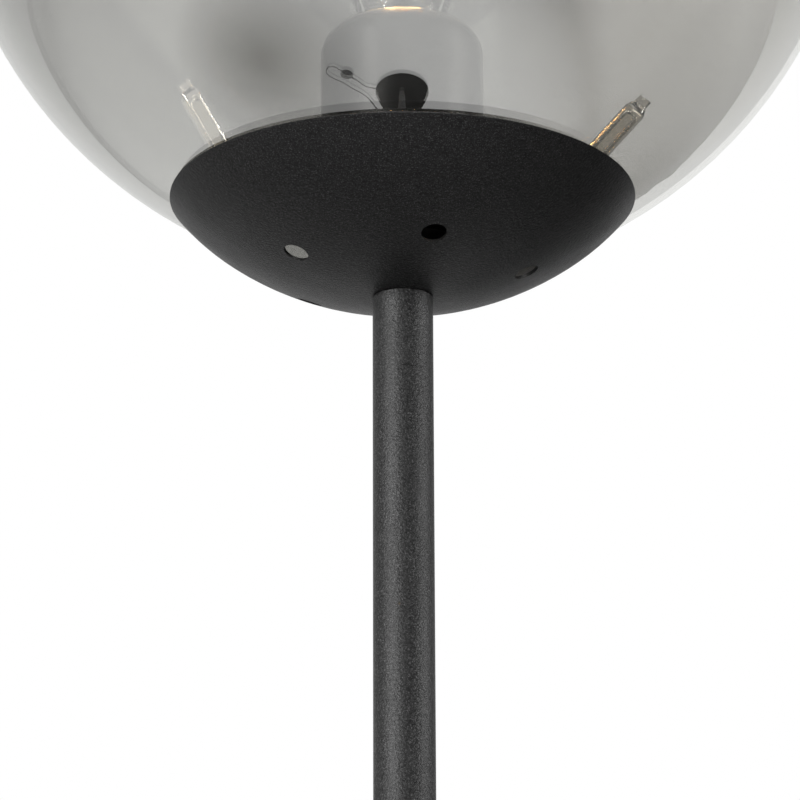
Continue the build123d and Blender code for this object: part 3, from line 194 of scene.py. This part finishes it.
def metal(name, low, high, rough=(0.25, 0.4), brushed=None, thread=None, size=0.0012):
    g = Graph(name)
    stretch = brushed or (1.0, 1.0, 1.0)
    fine = g.noise(size, detail=4.0, stretch=stretch)
    cloud = g.noise(0.012, detail=3.0)
    normal = g.bump(fine, 0.00006, 0.4)
    if thread:
        along = g.add("SeparateXYZ", {"Vector": g.position()}).outputs["Z"]
        turns = g.add("Math", {0: along, 1: 2 * math.pi / thread}, operation="MULTIPLY")
        wave = g.add("Math", {0: turns}, operation="SINE")
        normal = g.bump(wave, thread * 0.25, 1.0, normal)
    return g.principled(
        Base_Color=g.ramp(cloud, low, high),
        Metallic=1.0,
        Roughness=g.span(fine, *rough),
        Normal=normal,
    )


def plastic(name, low, high, rough=(0.4, 0.5), grain=0.0007, depth=0.00006, coat=0.0, streak=None):
    g = Graph(name)
    fine = g.noise(grain, detail=3.0, stretch=streak or (1.0, 1.0, 1.0))
    cloud = g.noise(0.015, detail=3.0)
    return g.principled(
        Base_Color=g.ramp(cloud, low, high),
        Roughness=g.span(fine, *rough),
        Normal=g.bump(fine, depth, 0.5),
        Coat_Weight=coat,
        Coat_Roughness=0.2,
    )


def cast_iron():
    g = Graph("cast_iron")
    sand = g.noise(0.0015, detail=5.0, rough=0.65)
    rust = g.noise(0.03, detail=4.0)
    return g.principled(
        Base_Color=g.ramp(rust, (0.05, 0.05, 0.05), (0.10, 0.075, 0.06)),
        Metallic=0.7,
        Roughness=g.span(sand, 0.6, 0.85),
        Normal=g.bump(sand, 0.0004, 0.7),
    )


def smoked_glass():
    """Half-mirrored grey glass: a clear wall under a thin mirror that closes towards the edge."""
    g = Graph("smoked_glass")
    facing = g.add("LayerWeight", {"Blend": 0.5}).outputs["Facing"]
    steep = g.add("Math", {0: facing, 1: 4.0}, operation="POWER")
    cloud = g.noise(0.09, detail=2.0)
    share = g.span(steep, 0.24, 0.75, source=(0.0, 1.0))
    tint = g.ramp(cloud, (0.93, 0.925, 0.91), (0.96, 0.955, 0.945))
    mirror = g.add("BsdfGlossy", {"Color": (0.965, 0.97, 0.955, 1.0), "Roughness": 0.004})
    clear = g.add("BsdfTransparent", {"Color": tint})
    return g.shade(g.add("MixShader", {0: share, 1: clear.outputs[0], 2: mirror.outputs[0]}))


def clear_glass():
    g = Graph("clear_glass")
    rim = g.add("LayerWeight", {"Blend": 0.12}).outputs["Fresnel"]
    cloud = g.noise(0.03)
    tint = g.ramp(cloud, (0.93, 0.94, 0.93), (0.97, 0.975, 0.97))
    clear = g.add("BsdfTransparent", {"Color": tint})
    shine = g.add("BsdfGlossy", {"Color": WHITE, "Roughness": 0.02})
    return g.shade(g.add("MixShader", {0: rim, 1: clear.outputs[0], 2: shine.outputs[0]}))


def amber_plastic():
    """Clear sleeve of the clips, thicker and browner along its edges."""
    g = Graph("amber_plastic")
    flow = g.noise(0.004, detail=2.0, stretch=(1.0, 1.0, 0.3))
    return g.principled(
        Base_Color=g.ramp(flow, (0.93, 0.88, 0.79), (0.97, 0.95, 0.90)),
        Transmission_Weight=1.0,
        IOR=1.47,
        Roughness=g.span(flow, 0.01, 0.05),
        Normal=g.bump(flow, 0.0002, 0.1),
    )


def glowing_filament():
    g = Graph("filament")
    crumb = g.noise(0.0006, detail=2.0)
    colour = g.ramp(crumb, (1.0, 0.52, 0.16), (1.0, 0.66, 0.30))
    return g.principled(
        Base_Color=colour, Roughness=0.6, Emission_Color=colour, Emission_Strength=60.0
    )


MATERIALS = {
    "powder_coat": powder_coat(),
    "iron": cast_iron(),
    "pad_rubber": plastic(
        "pad_rubber", grey(0.018), grey(0.028), rough=(0.75, 0.9), grain=0.0015, depth=0.0002
    ),
    "plated_steel": metal("plated_steel", (0.50, 0.49, 0.45), (0.62, 0.61, 0.57)),
    "insert_steel": metal("insert_steel", grey(0.38), grey(0.46), brushed=(1.0, 1.0, 12.0)),
    "spring_wire": metal("spring_wire", grey(0.55), grey(0.68), rough=(0.18, 0.3)),
    "clip_plastic": amber_plastic(),
    "cover_metal": metal(
        "cover_metal", grey(0.012), grey(0.02), rough=(0.34, 0.44), brushed=(1.0, 1.0, 20.0)
    ),
    "holder_plastic": plastic(
        "holder_plastic", grey(0.02), (0.034, 0.03, 0.028), rough=(0.25, 0.4)
    ),
    "contact_brass": metal("contact_brass", (0.72, 0.50, 0.20), (0.83, 0.62, 0.30)),
    "cap_metal": metal("cap_metal", grey(0.68), grey(0.78), rough=(0.2, 0.34)),
    "bulb_insulation": plastic("bulb_insulation", grey(0.01), grey(0.02), rough=(0.08, 0.15)),
    "bulb_glass": clear_glass(),
    "filament": glowing_filament(),
    "smoked_glass": smoked_glass(),
    "switch_plastic": plastic("switch_plastic", grey(0.012), grey(0.020), grain=0.0005),
    "plug_plastic": plastic(
        "plug_plastic", grey(0.013), grey(0.022), rough=(0.38, 0.5), grain=0.0006
    ),
    "relief_rubber": plastic("relief_rubber", grey(0.014), grey(0.022), rough=(0.5, 0.65)),
    "lead_sheath": plastic(
        "lead_sheath", grey(0.011), grey(0.017), rough=(0.32, 0.42), grain=0.002
    ),
}
THREADED = metal("threaded_steel", (0.50, 0.49, 0.45), (0.62, 0.61, 0.57), thread=0.001)
THREADED_NODES = ("base_nipple", "head_nipple", "pole_coupler_1", "pole_coupler_2")

for part in frame["record"]["subparts"]:
    skin = THREADED if part["node"] in THREADED_NODES else MATERIALS[part["material_slot"]]
    mesh = NODES[part["node"]].data
    mesh.materials.clear()
    mesh.materials.append(skin)


# ---- mains lead --------------------------------------------------------------------------------
LEAD_DIAMETER = 0.006
LEAD_ON_FLOOR = 3.1
TURN = 6.6
COIL_X = -15.0
FIRST_LAYER_Y, SECOND_LAYER_Y = 178.65, 181.95
FIRST_LAYER_R = 42.65
STEP = 30
CORNER_SHARE = 0.9665      # a spline of this order runs this far out between its coil points


def coil_points():
    """Twelve points a turn: in over five half turns, up in one, and out over four."""
    points = []
    for angle in range(0, 1801, STEP):
        half_turns = angle / 180
        climb = min(max(half_turns - 5, 0.0), 1.0)
        inward = min(half_turns, 5.0)
        outward = max(half_turns - 6, 0.0)
        radius = (FIRST_LAYER_R - TURN / 2 * inward + TURN / 2 * outward) / CORNER_SHARE
        centre_y = FIRST_LAYER_Y + (SECOND_LAYER_Y - FIRST_LAYER_Y) * climb
        turned = math.radians(angle - 90)
        x, y = COIL_X + radius * math.cos(turned), centre_y + radius * math.sin(turned)
        points.append((x, y, LEAD_ON_FLOOR + TURN * climb))
    return points


NEAR_ROUTE = [
    (-147.89, -18.16, 8.0),
    (-163.77, -20.11, 8.0),
    (-180, -25.5, 3.4),
    (-196, -39.5, 3.2),
    (-211.67, -54.77, 8.0),
    (-225.43, -62.94, 8.0),
]
FAR_ROUTE = [
    (-316.57, -117.06, 8.0),
    (-330.33, -125.23, 8.0),
    (-350, -128, 4.6),
    (-369, -119, LEAD_ON_FLOOR),
    (-380, -100, LEAD_ON_FLOOR),
    (-378, -77, LEAD_ON_FLOOR),
    (-362, -59, LEAD_ON_FLOOR),
    (-331, -45, LEAD_ON_FLOOR),
    (-284, -31, LEAD_ON_FLOOR),
    (-243, -1, LEAD_ON_FLOOR),
    (-200, 20, LEAD_ON_FLOOR),
    (-162, 52, LEAD_ON_FLOOR),
    (-130, 86, LEAD_ON_FLOOR),
    (-97, 114, LEAD_ON_FLOOR),
    (-59, 136, LEAD_ON_FLOOR),
    (-33, 135.2, LEAD_ON_FLOOR),
    *coil_points(),
    (9, 142.6, 9.7),
    (26, 151, 8.6),
    (42.5, 160, 7.0),
    (59, 160, 7.0),
]


def lead(name, route):
    curve = bpy.data.curves.new(name, "CURVE")
    curve.dimensions = "3D"
    spline = curve.splines.new("NURBS")
    spline.points.add(len(route) - 1)
    for point, place in zip(spline.points, route):
        point.co = (*(value * MM for value in place), 1.0)
    spline.order_u = 3
    spline.use_endpoint_u = True
    spline.resolution_u = 6
    curve.bevel_depth = LEAD_DIAMETER / 2
    curve.bevel_resolution = 5
    curve.use_fill_caps = True
    curve.materials.append(MATERIALS["lead_sheath"])
    piece = bpy.data.objects.new(name, curve)
    SCENE.collection.objects.link(piece)
    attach(piece, "stand")
    return piece


# ---- return spring of the switch, copied as it stands with a mesh of its own; the real one shortens as the button goes down ---
cad_spring = NODES["switch_spring"]
spring = bpy.data.objects.new("return_spring", cad_spring.data.copy())
SCENE.collection.objects.link(spring)
spring.matrix_world = cad_spring.matrix_world.copy()
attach(spring, "stand")
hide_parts("switch_spring")
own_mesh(spring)

near_lead = lead("lead_near", NEAR_ROUTE)
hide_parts("cord_to_switch")
far_lead = lead("lead_far", FAR_ROUTE)
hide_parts("cord_from_switch", "cord_coil", "cord_to_plug")


# ---- floor, world and lamps --------------------------------------------------------------------
# The studio is white to the camera. The mirror of the ball sees a floor that falls off to the
# right, with a soft shadow on the left. The far side, seen through the glass, is dark on the left.
LIT_STRENGTH = 0.34
FLOOR_GREY = 0.45
FLOOR_SIZE = 30.0
FALLOFF_REACH = 8.0
FALLOFF = ((0.1, 0.6), (0.42, 0.95), (0.53, 0.95), (0.565, 0.08), (0.60, 0.12), (0.8, 0.3))
SHADOW_PLACE = (-0.75, -0.02, 0.0)
SHADOW_DEPTH = 0.24
SHADOW_REACH = (0.05, 0.8)
FLAG_WAY = (-0.16, 0.92, 0.39)
FLAG_EDGE = (0.188, 0.216)
FLAGGED_LEVEL = 0.05
ROOM_LEFT, ROOM_RIGHT = 0.68, 0.28
ROOM_REACH = 0.8
ROOM_BLEND = (0.6, 0.95)
MIRRORED_BEHIND = 0.4


def seen_rays(g):
    """1 where a ray comes from the camera, or by a reflection or clear glass, and 0 elsewhere."""
    path = g.add("LightPath").outputs
    either = {0: path["Is Camera Ray"], 1: path["Is Glossy Ray"]}
    mirrored = g.add("Math", either, operation="MAXIMUM")
    return g.add("Math", {0: mirrored, 1: path["Is Transmission Ray"]}, operation="MAXIMUM")


class WorldGraph(Graph):
    """The same, for the world's node tree."""

    def __init__(self, world):
        world.use_nodes = True
        self.tree = world.node_tree
        self.tree.nodes.clear()
        self.output = self.tree.nodes.new("ShaderNodeOutputWorld")
        self.place = None


world = bpy.data.worlds.new("studio")
SCENE.world = world
g = WorldGraph(world)
way = g.add("TexCoord").outputs["Generated"]
from_flag = g.distance(way, FLAG_WAY)
far_side = g.span(from_flag, FLAGGED_LEVEL, 1.0, source=FLAG_EDGE)
parts = g.add("SeparateXYZ", {"Vector": way}).outputs
aside = g.span(parts["X"], ROOM_LEFT, ROOM_RIGHT, source=(-ROOM_REACH, ROOM_REACH))
round_about = g.span(parts["Y"], aside, 1.0, source=ROOM_BLEND)
path = g.add("LightPath").outputs
depth = {0: path["Transparent Depth"], 1: 0.5}
behind_glass = g.add("Math", depth, operation="GREATER_THAN").outputs[0]
open_side = g.choose(path["Is Camera Ray"], round_about, 1.0)
through = g.choose(path["Is Camera Ray"], MIRRORED_BEHIND, far_side)
level = g.choose(behind_glass, open_side, through)
seen = g.add("Background", {"Color": WHITE, "Strength": level})
lit = g.add("Background", {"Color": WHITE, "Strength": LIT_STRENGTH})
studio = g.add("MixShader", {0: seen_rays(g), 1: lit.outputs[0], 2: seen.outputs[0]})
g.put(g.output.inputs["Surface"], studio)

floor_mesh = bpy.data.meshes.new("floor")
half = FLOOR_SIZE / 2
corners = [(-half, -half, 0), (half, -half, 0), (half, half, 0), (-half, half, 0)]
floor_mesh.from_pydata(corners, [], [(0, 1, 2, 3)])
floor = bpy.data.objects.new("floor", floor_mesh)
SCENE.collection.objects.link(floor)
g = Graph("floor")
across = g.add("SeparateXYZ", {"Vector": g.position()}).outputs["X"]
place = g.span(across, 0.0, 1.0, source=(-FALLOFF_REACH, FALLOFF_REACH))
falloff = g.levels(place, *FALLOFF)
from_shadow = g.distance(g.position(), SHADOW_PLACE)
shadow = g.span(from_shadow, SHADOW_DEPTH, 1.0, source=SHADOW_REACH)
mirrored = g.add("Math", {0: falloff, 1: shadow}, operation="MULTIPLY")
level = g.choose(g.add("LightPath").outputs["Is Camera Ray"], mirrored, 1.0)
plain = g.add("BsdfDiffuse", {"Color": (*grey(FLOOR_GREY), 1.0)})
glow = g.add("Emission", {"Color": WHITE, "Strength": level})
floor_shader = g.add("MixShader", {0: seen_rays(g), 1: plain.outputs[0], 2: glow.outputs[0]})
floor_mesh.materials.append(g.shade(floor_shader))


def receivers(name, state, *nodes):
    """The nodes that a lamp is flagged off (EXCLUDE), or is kept for (INCLUDE)."""
    group = bpy.data.collections.new(name)
    for number, node in enumerate(nodes):
        group.objects.link(NODES[node])
        group.collection_objects[number].light_linking.link_state = state
    return group


def softbox(name, place, aim, size, power, group):
    data = bpy.data.lights.new(name, "AREA")
    data.shape = "RECTANGLE"
    data.size, data.size_y = size
    data.energy = power
    lamp = bpy.data.objects.new(name, data)
    lamp.location = place
    lamp.rotation_euler = (Vector(aim) - Vector(place)).to_track_quat("-Z", "Y").to_euler()
    lamp.light_linking.receiver_collection = group
    SCENE.collection.objects.link(lamp)
    return lamp


# The ball mirrors only the white studio, and the dish has a weaker side light of its own.
OFF_BALL = receivers("off_ball", "EXCLUDE", "globe")
OFF_HEAD = receivers("off_head", "EXCLUDE", "globe", "dish")
DISH_ONLY = receivers("dish_only", "INCLUDE", "dish")
softbox("front_left", (-1.95, -2.05, 1.5), (0, 0, 1.1), (0.7, 1.6), 300, OFF_HEAD)
softbox("right", (2.45, -0.4, 1.5), (0, 0, 1.1), (0.6, 1.8), 130, OFF_HEAD)
softbox("dish_left", (-2.6, -0.6, 1.0), (0, 0, 1.25), (0.9, 1.4), 30, DISH_ONLY)
softbox("dish_front", (0.2, -2.2, 2.7), (0, 0, 1.27), (1.0, 0.8), 220, DISH_ONLY)
softbox("above", (0.2, 0.4, 3.4), (0, 0, 0.6), (1.6, 1.6), 20, OFF_BALL)

SCENE.view_settings.view_transform = "Standard"
